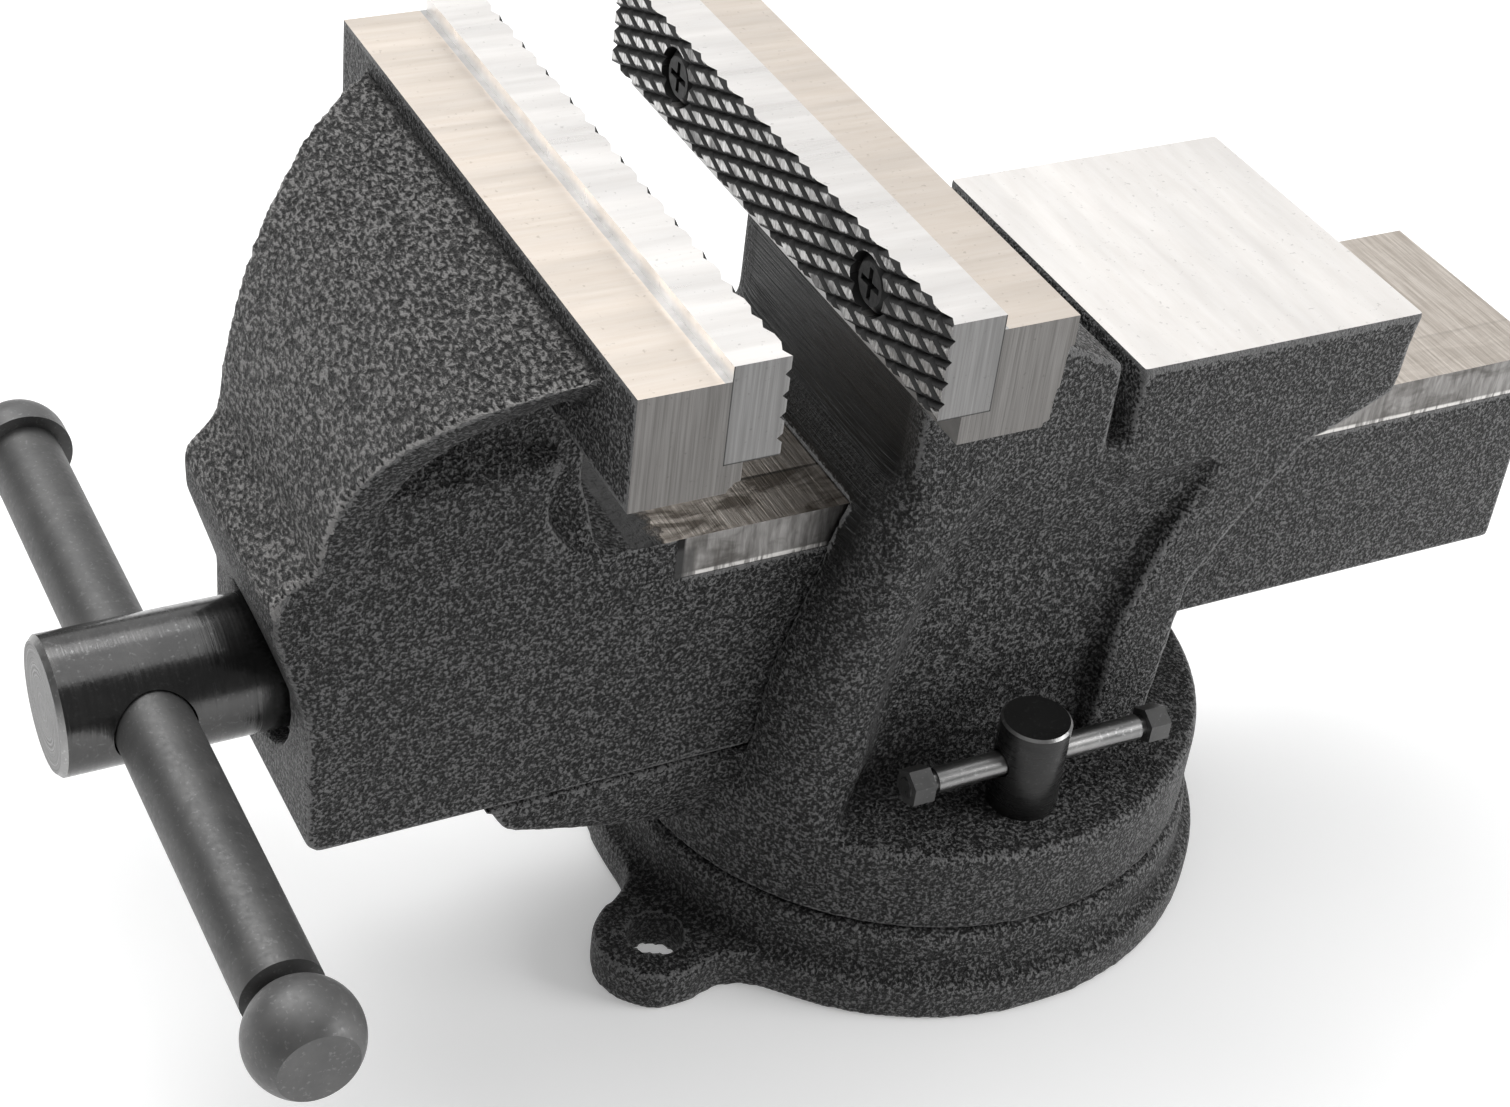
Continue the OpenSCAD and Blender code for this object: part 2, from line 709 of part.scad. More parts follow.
// Slope from the shoulder's upper edge in to the web
module shoulder_slope() {
    intersection() {
        across(slide_half) difference() {
            intersection() {
                translate([0, shoulder_lift]) shoulder_side();
                translate([hood_centre_x, hood_centre_z]) circle(hood_r - hood_t / 2, $fn = 160);
            }
            translate([scoop_x, scoop_z]) circle(scoop_r, $fn = 64);
        }
        along(housing_front, scoop_x) polygon([
            [-slide_half, slide_top_z], [-slide_half, shoulder_z],
            [-hood_web_half, shoulder_z + shoulder_lift], [hood_web_half, shoulder_z + shoulder_lift],
            [slide_half, shoulder_z], [slide_half, slide_top_z]]);
    }
}

// Side view of the lip that overhangs the front face
module nose_side() {
    polygon([
        [housing_front + hood_t, nose_top_z + hood_t * 0.4],
        [housing_front, nose_top_z], [housing_front - nose_reach * 0.85, nose_lip_z + nose_reach * 0.35],
        [housing_front - nose_reach, nose_lip_z],
        [housing_front - nose_reach * 0.95, nose_lower_z],
        [housing_front, nose_foot_z], [housing_front + hood_t, nose_foot_z]]);
}

// Side view of the hood as a curved shell
module hood_side() {
    difference() {
        translate([hood_centre_x, hood_centre_z]) circle(hood_r, $fn = 160);
        translate([hood_centre_x, hood_centre_z]) circle(hood_r - hood_t, $fn = 160);
        translate([moving_back, 0]) square([hood_r * 4, jaw_top_z + hood_r]);
        translate([hood_centre_x - 2 * hood_r, 0]) square([4 * hood_r, nose_top_z]);
    }
}

// Front view of the hood: it narrows in a concave sweep from the jaw to the nose
function hood_half(s) = hood_foot_half + (hood_top_half - hood_foot_half) * s * s;
module hood_front() {
    low = nose_top_z;
    rise = jaw_top_z - hood_drop - low;
    right = [for (i = [0:hood_steps]) let (s = i / hood_steps) [hood_half(s), low + rise * s]];
    left = [for (i = [hood_steps:-1:0]) [-right[i][0], right[i][1]]];
    polygon(concat([[-hood_half(0), low - over], [hood_half(0), low - over]], right,
        [[hood_top_half, jaw_top_z], [-hood_top_half, jaw_top_z]], left));
}

// Side view of the web that fills the hood and of the neck that carries the jaw
module hood_web_side() {
    neck_x = moving_back + neck_t;
    foot_x = neck_x + neck_fillet_r;
    low_z = slide_top_z - hood_t;
    intersection() {
        translate([hood_centre_x, hood_centre_z]) circle(hood_r - hood_t / 2, $fn = 160);
        translate([housing_front, low_z]) square([neck_x - housing_front, jaw_top_z - low_z - hood_t]);
    }
    difference() {
        translate([neck_x - over, low_z]) square([neck_fillet_r + over, neck_fillet_r + hood_t]);
        translate([foot_x, slide_top_z + neck_fillet_r]) circle(neck_fillet_r, $fn = 64);
    }
    difference() {
        translate([neck_x - over, jaw_bottom_z - neck_cove])
            square([neck_cove + over, neck_cove + over]);
        translate([neck_x + neck_cove, jaw_bottom_z - neck_cove]) circle(neck_cove, $fn = 48);
    }
}

// Front view of the web: wide at the slide, slim above it and coved out under the jaw
module hood_web_front() {
    foot_rise = shoulder_lift + over;
    right = concat(
        [[slide_half, slide_top_z - hood_t], [slide_half, slide_top_z],
            [hood_web_half, slide_top_z + foot_rise]],
        arc([hood_web_half + hood_t, jaw_bottom_z - hood_t], hood_t, 180, 90, corner_steps),
        [[hood_web_half + hood_t, jaw_top_z]]);
    count = len(right);
    polygon(concat(right, [for (i = [count - 1:-1:0]) [-right[i][0], right[i][1]]]));
}

// Machined strips along the slide's upper edges
module slide_strips() {
    for (side = [-1, 1]) {
        translate([strip_front, side * (slide_half + over - strip_cut), slide_top_z - strip_h])
            block([0, -over, 0], [slide_rear_x - strip_front + over, over, strip_h + over]);
    }
}

module moving_jaw() {
    color("#34363a")
    difference() {
        union() {
            across(slide_half) housing_side();
            across(nose_half) nose_side();
            shoulder_slope();
            intersection() {
                across(jaw_w / 2) hood_side();
                along(housing_front - nose_reach - over, moving_seat) hood_front();
            }
            intersection() {
                across(jaw_w / 2) hood_web_side();
                along(housing_front, moving_seat) hood_web_front();
            }
            across(jaw_w / 2) jaw_side(moving_seat, moving_back, moving_ledge, moving_chamfer,
                moving_lean);
        }
        block([wall_inner, -channel_half, housing_bottom_z - over],
            [slide_rear_x + over, channel_half, channel_top_z]);
        rod_x(journal_r + turn_gap, housing_front - over, wall_inner + over);
        rod_x(seat_r, housing_front - nose_reach - over, seat_x);
        slide_strips();
        insert_screw_holes(moving_seat, -1);
    }
}

// Spindle group

module thrust_washer() {
    color("#8a8a88") difference() {
        rod_x(washer_r, head_face_x, seat_x);
        rod_x(washer_bore_r, head_face_x - over, seat_x + over);
    }
}

// Rings of six points along the spring's centre line, eight to a curl
spring_rings = spring_curls * 8;
function spring_ring(i) =
    let (turn = 45 * i, rise = spring_wire_r + (spring_len - 2 * spring_wire_r) * i / spring_rings)
    [for (k = [0:5]) let (a = 60 * k, r = spring_mean_r + spring_wire_r * cos(a))
        [wall_inner + rise - spring_wire_r * sin(a), r * cos(turn), spindle_z + r * sin(turn)]];
spring_points = [for (i = [0:spring_rings]) spring_ring(i)];
spring_gap = min([for (i = [0:spring_rings - 6], j = [i + 6:min(i + 10, spring_rings)],
    a = spring_points[i], b = spring_points[j]) norm(a - b)]);
echo(spring_gap = spring_gap);

module spindle_spring() {
    color("#77797b") loft(spring_points);
}

module spindle() {
    color("#1b1b1d")
    difference() {
        union() {
            rod_x(head_r, -head_end_x + head_chamfer, head_face_x);
            translate([-head_end_x, 0, spindle_z]) rotate([0, 90, 0])
                cylinder(r1 = head_r - head_chamfer, r2 = head_r, h = head_chamfer);
            rod_x(journal_r, head_face_x - over, collar_x + collar_t);
            rod_x(thread_r, collar_x, spindle_end_x - head_chamfer);
            translate([spindle_end_x - head_chamfer, 0, spindle_z]) rotate([0, 90, 0])
                cylinder(r1 = thread_r, r2 = thread_r - head_chamfer, h = head_chamfer);
        }
        translate([-handle_x, 0, spindle_z]) rotate([90, 0, 0])
            cylinder(r = handle_hole_r, h = 2 * (head_r + over), center = true);
        translate([collar_x + collar_t / 2, 0, spindle_z])
            cylinder(r = collar_pin_r + turn_gap, h = 2 * (collar_r + over), center = true, $fn = 32);
    }
}

module spindle_collar() {
    color("#606264") difference() {
        rod_x(collar_r, collar_x, collar_x + collar_t);
        rod_x(journal_r + turn_gap, collar_x - over, collar_x + collar_t + over);
        translate([collar_x + collar_t / 2, 0, spindle_z])
            cylinder(r = collar_pin_r + turn_gap, h = 2 * (collar_r + over), center = true, $fn = 32);
    }
}

module collar_pin() {
    color("#8a8a88") translate([collar_x + collar_t / 2, 0, spindle_z])
        cylinder(r = collar_pin_r, h = 2 * collar_r, center = true, $fn = 32);
}

module handle_bar() {
    color("#4b4d4e") translate([-handle_x, 0, spindle_z]) rotate([90, 0, 0])
        translate([0, 0, -knob_reach]) cylinder(r = handle_r, h = knob_reach + ball_reach - ball_r);
}

// Ball with a flat outer end and a socket for the bar
module handle_ball() {
    flat = ball_r * 0.72;
    color("#444648") translate([-handle_x, -ball_reach, spindle_z]) rotate([90, 0, 0])
    difference() {
        rotate_extrude() intersection() {
            circle(ball_r, $fn = 64);
            translate([0, -ball_r]) square([ball_r, ball_r + flat]);
        }
        translate([0, 0, -2 * ball_r]) cylinder(r = handle_r + turn_gap, h = ball_r);
    }
}

// Domed knob with a flat inner face and a socket for the bar
module handle_knob() {
    dome_r = ball_r * 0.96;
    straight = ball_r * 0.35;
    color("#444648") translate([-handle_x, knob_reach, spindle_z]) rotate([-90, 0, 0])
    rotate_extrude() union() {
        square([dome_r, straight]);
        intersection() {
            translate([0, straight]) circle(dome_r, $fn = 64);
            translate([0, straight]) square(dome_r);
        }
    }
}

// Nut of the spindle, with the bolt that holds it to the body's floor

module spindle_nut() {
    color("#55575a") difference() {
        across(nut_half) polygon([
            [nut_front_x, floor_z], [nut_front_x + nut_len, floor_z],
            [nut_front_x + nut_len, nut_shoulder_z + thread_r / 2],
            [nut_front_x + nut_len - thread_r / 2, nut_top_z],
            [nut_front_x + thread_r / 2, nut_top_z],
            [nut_front_x, nut_shoulder_z + thread_r / 2]]);
        rod_x(thread_r + turn_gap, nut_front_x - over, nut_front_x + nut_len + over);
        translate([nut_bolt_x, 0, floor_z - over])
            cylinder(r = nut_bolt_r + turn_gap, h = nut_bolt_tip_z - floor_z + 2 * over, $fn = 48);
    }
}

module nut_bolt() {
    washer_z = pocket_top_z - bolt_washer_t;
    color("#3a3b3d") union() {
        translate([nut_bolt_x, 0, washer_z - nut_bolt_head_h])
            cylinder(r = nut_bolt_af / sqrt(3), h = nut_bolt_head_h, $fn = 6);
        translate([nut_bolt_x, 0, washer_z - over])
            cylinder(r = nut_bolt_r, h = nut_bolt_tip_z - washer_z + over, $fn = 48);
    }
}

module nut_bolt_washer() {
    color("#8a8a88") translate([nut_bolt_x, 0, pocket_top_z - bolt_washer_t]) difference() {
        cylinder(r = bolt_washer_r, h = bolt_washer_t);
        translate([0, 0, -over]) cylinder(r = nut_bolt_r + turn_gap, h = bolt_washer_t + 2 * over, $fn = 48);
    }
}

// Lock screws, drawn for the near side and mirrored for the far side

module tee_nut() {
    color("#55575a") translate([0, -lock_reach, 0]) difference() {
        union() {
            block([-tee_nut_len / 2, -tee_nut_w / 2, slot_floor_z + tee_nut_gap],
                [tee_nut_len / 2, tee_nut_w / 2, slot_shoulder_z - tee_nut_gap]);
            block([-tee_neck_w / 2, -tee_neck_w / 2, slot_shoulder_z - over],
                [tee_neck_w / 2, tee_neck_w / 2, seam_z - over]);
        }
        translate([0, 0, slot_floor_z]) cylinder(r = lock_shank_r - tee_nut_gap * 2, h = seam_z, $fn = 48);
    }
}

module lock_screw() {
    tip_r = lock_shank_r - tee_nut_gap * 2 - turn_gap;
    color("#202123") translate([0, -lock_reach, 0]) difference() {
        union() {
            translate([0, 0, flange_top_z]) cylinder(r = lock_head_r, h = lock_head_h - head_chamfer / 2);
            translate([0, 0, flange_top_z + lock_head_h - head_chamfer / 2])
                cylinder(r1 = lock_head_r, r2 = lock_head_r - head_chamfer / 2, h = head_chamfer / 2);
            translate([0, 0, seam_z + over]) cylinder(r = lock_shank_r, h = flange_top_z - seam_z, $fn = 48);
            translate([0, 0, lock_tip_z]) cylinder(r = tip_r, h = seam_z, $fn = 48);
        }
        translate([0, 0, lock_bar_z]) rotate([0, 90, 0])
            cylinder(r = lock_bar_r + run_gap, h = 2 * (lock_head_r + over), center = true, $fn = 40);
    }
}

module lock_bar() {
    color("#8d8f90") translate([lock_bar_shift, -lock_reach, lock_bar_z]) rotate([0, 90, 0]) union() {
        cylinder(r = lock_bar_r, h = lock_bar_len, center = true, $fn = 40);
        cylinder(r = lock_bar_end_r, h = lock_bar_len + 2 * (lock_bar_neck + lock_nut_t + over / 4),
            center = true, $fn = 32);
    }
}

module bar_nuts() {
    color("#3f4143") for (side = [-1, 1]) {
        translate([lock_bar_shift + side * (lock_bar_len / 2 + lock_bar_neck + lock_nut_t / 2),
            -lock_reach, lock_bar_z]) rotate([0, 90, 0])
        difference() {
            cylinder(r = lock_nut_af / sqrt(3), h = lock_nut_t, center = true, $fn = 6);
            cylinder(r = lock_bar_end_r + lock_nut_gap, h = lock_nut_t + 2 * over, center = true, $fn = 32);
        }
    }
}

module near_tee_nut() { tee_nut(); }
module far_tee_nut() { mirror([0, 1, 0]) tee_nut(); }
module near_lock_screw() { lock_screw(); }
module far_lock_screw() { mirror([0, 1, 0]) lock_screw(); }
module near_lock_bar() { lock_bar(); }
module far_lock_bar() { mirror([0, 1, 0]) lock_bar(); }
module near_bar_nuts() { bar_nuts(); }
module far_bar_nuts() { mirror([0, 1, 0]) bar_nuts(); }

swivel_base();
fixed_body();
fixed_insert();
fixed_insert_screws();
spindle_nut();
nut_bolt();
nut_bolt_washer();
near_tee_nut();
far_tee_nut();
moving_jaw();
moving_insert();
moving_insert_screws();
thrust_washer();
spindle_spring();
spindle();
spindle_collar();
collar_pin();
handle_bar();
handle_ball();
handle_knob();
near_lock_screw();
near_lock_bar();
near_bar_nuts();
far_lock_screw();
far_lock_bar();
far_bar_nuts();
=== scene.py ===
"""Looks of the swivel bench vise: cast skins, machined faces, steel pieces and studio."""

import math

import bmesh
import bpy
import numpy as np
from mathutils import Matrix, Vector


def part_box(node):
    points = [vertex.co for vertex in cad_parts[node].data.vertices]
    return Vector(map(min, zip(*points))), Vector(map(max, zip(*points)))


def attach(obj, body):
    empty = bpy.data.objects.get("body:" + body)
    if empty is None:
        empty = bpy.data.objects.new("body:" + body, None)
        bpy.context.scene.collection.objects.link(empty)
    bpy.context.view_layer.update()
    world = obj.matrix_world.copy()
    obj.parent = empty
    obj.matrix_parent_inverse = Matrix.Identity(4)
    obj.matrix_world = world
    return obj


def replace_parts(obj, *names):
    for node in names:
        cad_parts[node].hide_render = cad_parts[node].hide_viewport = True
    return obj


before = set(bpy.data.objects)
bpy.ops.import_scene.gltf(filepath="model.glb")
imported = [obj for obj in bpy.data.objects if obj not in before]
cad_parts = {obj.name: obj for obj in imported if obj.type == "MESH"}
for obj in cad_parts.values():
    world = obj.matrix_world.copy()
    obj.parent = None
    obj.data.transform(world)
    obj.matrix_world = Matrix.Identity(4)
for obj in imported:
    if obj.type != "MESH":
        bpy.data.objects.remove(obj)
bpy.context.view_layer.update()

MM = 0.001

# Boxes of CAD nodes, in metres
INSERT_LO, INSERT_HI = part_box("fixed_insert")
SLIDER_LO, SLIDER_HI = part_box("moving_insert")
BODY_LO, BODY_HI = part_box("fixed_body")
JAW_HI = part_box("moving_jaw")[1]
SPINDLE_LO, SPINDLE_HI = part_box("spindle")
LOCK_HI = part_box("near_lock_screw")[1]
COLLAR_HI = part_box("spindle_collar")[1]

# Jaws: an insert bears on its jaw at the seat, and the jaw block ends at its back
JAW_TOP = BODY_HI.z
JAW_HALF = INSERT_HI.y
JAW_END = JAW_TOP - 21.2 * MM
FIXED_SEAT = INSERT_HI.x
FIXED_BACK = FIXED_SEAT + 14.2 * MM
FIXED_STEP = FIXED_SEAT - 5.4 * MM
MOVING_SEAT = SLIDER_LO.x
MOVING_BACK = MOVING_SEAT - 16 * MM
LEDGE = 3.5 * MM
SEAM = 0.12 * MM
TOP_SEAM = 0.35 * MM

# Teeth of the inserts: length and height of a diamond, and half the groove's grime
TEETH_Z = (INSERT_LO.z + INSERT_HI.z) / 2
TOOTH_LEN, TOOTH_H = 10.6 * MM, 4 * MM
GRIME = ((1, 1.75 * MM), (-1, 2.05 * MM))

# Slide with its machined top and the machined strip down each side
SLIDE_TOP = 104.4 * MM
SLIDE_HALF = 25.5 * MM
SLIDE_FRONT = -80 * MM
SLIDE_LINE = -12.2 * MM
PAINT_END = -69.5 * MM
OIL_FRONT, OIL_REAR = -28 * MM, 85 * MM
# The slide top is darker in front of these places, as painted shade between the jaws.
SLIDE_SHADE_FADES, SLIDE_SHADE_GONE = 30 * MM, 55 * MM
RUN_GAP = 0.35 * MM
STRIP = 9 * MM
STRIP_FOOT = SLIDE_TOP - STRIP
STRIP_LIP = 96.5 * MM
STRIP_FRONT = MOVING_SEAT + 15 * MM
STRIP_STEP = -69.05 * MM
STRIP_MIDDLE = 20 * MM
FACET_X, FACET_Z = -67.05 * MM, 102 * MM

# Anvil, neck under the fixed jaw, and lugs of the base
ANVIL_TOP = 129.4 * MM
ANVIL_FRONT = 15.9 * MM
ANVIL_HALF = 35.9 * MM
NECK_FOOT, NECK_FULL = 78 * MM, 100 * MM
NECK_HALF, NECK_EDGE = 30 * MM, 36 * MM
NECK_BACK = -26 * MM
LUG_REACH = 73.4 * MM
LUG_ANGLE = math.radians(22.4)
LUG_HOLE = 5.5 * MM

# Spindle thread
SPINDLE_Z = (SPINDLE_LO.z + SPINDLE_HI.z) / 2
CREST, ROOT, LEAD = 9.6 * MM, 7.4 * MM, 5 * MM
TIP = 2 * MM
END_GAP = 0.02 * MM

# Hood over the sliding jaw, a cylinder that runs across the vise
HOOD_R = 54.8 * MM
HOOD_X = -138.8 * MM + 1.014 * HOOD_R
HOOD_Z = JAW_TOP - 4.1 * MM - math.sqrt(HOOD_R ** 2 - (MOVING_BACK - HOOD_X) ** 2)

# Skins: mesh size, share of the smoothing rounds that it needs, snapping reach in meshes,
# width over which rounding sets in, and how far a full edge stands off its softened shape
FINE_VOXEL = 0.9 * MM
VOXEL = FINE_VOXEL
PASSES = (FINE_VOXEL / VOXEL) ** 2
SNAP = 0.8
FADE = 3 * MM
EDGE_BULGE = 0.4 * MM

# Picking faces: slack past a named place, and least share of a normal along its axis
MARGIN = 1 * MM
FACING = 0.8

# Depth of the fine bump of machined and blackened metal
TOOL_MARKS = 0.08 * MM

# The Mix node's colour sockets, by number because its number sockets have the same names
MIX_FIRST, MIX_SECOND, MIX_RESULT = 6, 7, 2


# Shader helpers

class Graph:
    """A material's node tree with short calls for the nodes used here."""

    def __init__(self, name):
        self.material = bpy.data.materials.new(name)
        self.material.use_nodes = True
        self.tree = self.material.node_tree
        self.shader = self.tree.nodes["Principled BSDF"]
        self.place = self.tree.nodes.new("ShaderNodeTexCoord").outputs["Object"]

    def node(self, kind, values=None, **settings):
        made = self.tree.nodes.new(kind)
        for key, value in settings.items():
            setattr(made, key, value)
        for key, value in (values or {}).items():
            self.put(made.inputs[key], value)
        return made

    def put(self, socket, value):
        if isinstance(value, bpy.types.NodeSocket):
            self.tree.links.new(value, socket)
        else:
            socket.default_value = value

    def stretched(self, scale):
        return self.node("ShaderNodeMapping", {"Vector": self.place, "Scale": scale}).outputs[0]

    def noise(self, scale, detail=2.0, rough=0.5, distortion=0.0, place=None):
        made = self.node("ShaderNodeTexNoise", {
            "Vector": place or self.place, "Scale": scale, "Detail": detail,
            "Roughness": rough, "Distortion": distortion})
        return made.outputs["Fac"]

    def streaks(self, stretch, detail, rough, distortion=0.0, scale=1.0):
        """Noise with its own number of changes a metre along X, Y and Z."""
        return self.noise(scale, detail, rough, distortion, self.stretched(stretch))

    def axis(self, letter):
        return self.node("ShaderNodeSeparateXYZ", {0: self.place}).outputs[letter]

    def attribute(self, name):
        return self.node("ShaderNodeAttribute", attribute_name=name).outputs["Fac"]

    def calc(self, operation, *values):
        made = self.node("ShaderNodeMath", dict(enumerate(values)), operation=operation)
        return made.outputs[0]

    def add(self, first, second):
        return self.calc("ADD", first, second)

    def times(self, first, second):
        return self.calc("MULTIPLY", first, second)

    def span(self, value, low, high, out_low=0.0, out_high=1.0):
        """Runs from out_low to out_high as a value goes from low to high."""
        return self.node("ShaderNodeMapRange", {
            "Value": value, "From Min": low, "From Max": high,
            "To Min": out_low, "To Max": out_high}).outputs[0]

    def step(self, value, place, half, below=1.0, above=0.0):
        """Changes over twice that half width as a value passes a place."""
        return self.span(value, place - half, place + half, below, above)

    def line(self, value, place, half, soft=0.2 * MM):
        """1 on a thin line where a coordinate has that place, 0 away from it."""
        away = self.calc("ABSOLUTE", self.add(value, -place))
        return self.span(away, half, half + soft, 1.0, 0.0)

    def blend(self, factor, first, second):
        made = self.node("ShaderNodeMix", data_type="RGBA")
        self.put(made.inputs["Factor"], factor)
        self.put(made.inputs[MIX_FIRST], first)
        self.put(made.inputs[MIX_SECOND], second)
        return made.outputs[MIX_RESULT]

    def bump(self, height, distance, strength=1.0):
        return self.node("ShaderNodeBump", {
            "Height": height, "Distance": distance, "Strength": strength}).outputs[0]

    def finish(self, **values):
        for key, value in values.items():
            self.put(self.shader.inputs[key.replace("_", " ")], value)
        return self.material


def grey(level, warmth=0.0):
    return (level * (1 + warmth), level, level * (1 - warmth), 1)


def wrinkle_paint(name, scale, warmth=0.0, stretch=(1, 1, 1), level=1.0, crest=0.17):
    """Wrinkle coat: pits and crests under 1 mm wide, pits darkened as painted shade and crests
    lightened as painted highlight, edges worn and lightened as painted highlight, inner corners
    darkened as painted shade, lined on milled faces.
    """
    flanks, crests, wear_and_highlight = (0.57, 0.63), (0.68, 0.75), (1.17, 1.42)
    g = Graph(name)
    wrinkles = g.noise(scale, 2.0, 0.55, 0.4, g.stretched(stretch))
    grain = g.noise(3200.0, 2.0, 0.6)
    waves = g.noise(200.0, 2.0, 0.5, 0.4)
    blotch = g.noise(26.0, 3.0, 0.55)
    lines = g.streaks((60.0, 40.0, 1500.0), 3.0, 0.6)
    milled, edge = g.attribute("milled"), g.attribute("edge")

    height = g.add(g.add(wrinkles, g.times(grain, 0.25)), g.times(waves, 0.9))
    height = g.add(g.times(height, g.calc("SUBTRACT", 1.0, milled)),
                   g.times(g.times(lines, 0.5), milled))

    relief = g.add(wrinkles, g.times(grain, 0.3))
    # Pits are coloured near black as painted shade and crests light as painted highlight of the
    # wrinkle relief.
    shade = g.blend(g.span(relief, *flanks), grey(0.002, warmth), grey(0.036 * level, warmth))
    shade = g.blend(g.span(blotch, 0.35, 0.65, 0.25, 0.0), shade, grey(0.02 * level, warmth))
    shade = g.blend(g.span(relief, *crests), shade, grey(crest * level, warmth))
    shade = g.blend(milled, shade, grey(0.004))
    shade = g.blend(g.times(g.span(lines, 0.52, 0.66, 0.0, 0.8), milled), shade, grey(0.012))
    # Convex edges are lightened, partly as worn paint and partly as a painted highlight along the
    # edge.
    worn = g.span(g.add(edge, g.times(wrinkles, 1.6)), *wear_and_highlight, 0.0, 0.8)
    shade = g.blend(worn, shade, grey(0.2 * level, warmth))
    # Inner corners are darkened as painted shade.
    shade = g.blend(g.span(edge, -0.9, -0.2, 0.7, 0.0), shade, grey(0.003, warmth))
    return g.finish(Base_Color=shade, Roughness=g.span(grain, 0.3, 0.7, 0.34, 0.58),
                    Specular_IOR_Level=0.3, Normal=g.bump(height, 1.2 * MM))


def machined(name, level, warmth, lines, rough, stain=0.12, strength=0.25, contrast=0.84,
             seams=()):
    """Bare metal with tool lines, streaked as given along X, Y and Z.

    A seam is a dark line: the axis it lies across, its place there and half its width.
    """
    g = Graph(name)
    fine = g.streaks(lines, 3.0, 0.6)
    broad = g.streaks(lines, 2.0, 0.5, scale=0.25)
    patches = g.noise(45.0, 4.0, 0.6, 0.5)
    specks = g.noise(900.0, 2.0, 0.6)
    tone = g.blend(g.span(fine, 0.35, 0.65),
                   grey(level * contrast, warmth), grey(level, warmth * 0.8))
    tone = g.blend(g.span(patches, 0.45, 0.75, 0.0, stain),
                   tone, grey(level * 0.55, warmth * 2.2))
    tone = g.blend(g.span(specks, 0.66, 0.74, 0.0, 0.35),
                   tone, grey(level * 0.35, warmth * 2))
    for letter, place, half in seams:
        tone = g.blend(g.times(g.line(g.axis(letter), place, half), 0.85), tone, grey(0.02))
    dull = g.add(g.span(broad, 0.3, 0.7, rough - 0.07, rough + 0.07), g.times(patches, 0.08))
    relief = g.add(fine, g.times(broad, 0.6))
    return g.finish(Base_Color=tone, Metallic=1.0, Roughness=dull,
                    Normal=g.bump(relief, TOOL_MARKS, strength))


def milled_slide():
    """Milled slide top: lines across it, darker between the jaws as painted shade, oil stains
    between the jaws, paint on its front.
    """
    g = Graph("milled slide")
    along, over = g.axis("X"), g.axis("Y")
    fine = g.streaks((1500.0, 60.0, 60.0), 3.0, 0.65)
    stains = g.streaks((90.0, 240.0, 60.0), 4.0, 0.62, 0.6)
    drift = g.noise(420.0, 3.0, 0.6)
    lines = g.span(fine, 0.35, 0.65)
    # Darker tones towards the front as painted shade between the jaws, lighter behind the body.
    tone = g.blend(g.span(along, SLIDE_SHADE_FADES, SLIDE_SHADE_GONE),
                   g.blend(lines, grey(0.24, 0.12), grey(0.40, 0.09)),
                   g.blend(lines, grey(0.42, 0.12), grey(0.62, 0.09)))
    oily = g.span(along, OIL_FRONT, OIL_REAR, 1.0, 0.15)
    near_band = g.step(over, SLIDE_LINE, 0.4 * MM, 1.0, 0.45)
    mark = g.times(g.span(stains, 0.42, 0.60), g.times(oily, near_band))
    tone = g.blend(g.times(mark, 0.85), tone, grey(0.05, 0.22))
    line = g.times(g.line(over, SLIDE_LINE, 0.2 * MM, 0.3 * MM), 0.75)
    tone = g.blend(g.times(line, oily), tone, grey(0.02, 0.1))
    paint = g.step(g.add(along, g.times(drift, 8 * MM)), PAINT_END, 1 * MM)
    tone = g.blend(paint, tone, grey(0.012))
    relief = g.add(fine, g.times(drift, g.times(paint, 6.0)))
    return g.finish(Base_Color=tone, Metallic=g.span(paint, 0.0, 1.0, 1.0, 0.0),
                    Roughness=g.span(stains, 0.3, 0.7, 0.36, 0.5),
                    Normal=g.bump(relief, 0.16 * MM, 0.8))


def milled_strip():
    """Milled side of the slide: upright scratches, a notched lip lightened as a painted highlight,
    a dark front.
    """
    g = Graph("milled strip")
    along, high = g.axis("X"), g.axis("Z")
    scratches = g.streaks((700.0, 60.0, 120.0), 3.0, 0.65, 0.3)
    patches = g.streaks((120.0, 60.0, 200.0), 3.0, 0.6, 0.5)
    tone = g.blend(g.span(scratches, 0.35, 0.65), grey(0.14, 0.04), grey(0.28, 0.03))
    tone = g.blend(g.span(patches, 0.50, 0.68, 0.0, 0.7), tone, grey(0.07, 0.08))
    # The lip at the strip's foot is coloured bright as a painted highlight, notched by the
    # scratches.
    lip_highlight = g.times(g.step(high, STRIP_LIP, 0.2 * MM), g.span(scratches, 0.42, 0.52, 0.25, 1.0))
    tone = g.blend(lip_highlight, tone, grey(0.62, 0.03))
    tone = g.blend(g.times(g.line(high, STRIP_FOOT, 0.2 * MM), 0.9), tone, grey(0.01))
    tone = g.blend(g.step(along, STRIP_STEP, 0.25 * MM, 0.95, 0.0), tone, grey(0.008))
    facet = g.times(g.step(along, FACET_X, 0.15 * MM), g.step(high, FACET_Z, 0.5 * MM))
    tone = g.blend(g.times(facet, 0.55), tone, grey(0.08))
    relief = g.add(scratches, g.times(lip_highlight, 0.8))
    return g.finish(Base_Color=tone, Metallic=1.0,
                    Roughness=g.span(patches, 0.3, 0.7, 0.32, 0.46),
                    Normal=g.bump(relief, 0.1 * MM, 0.8))


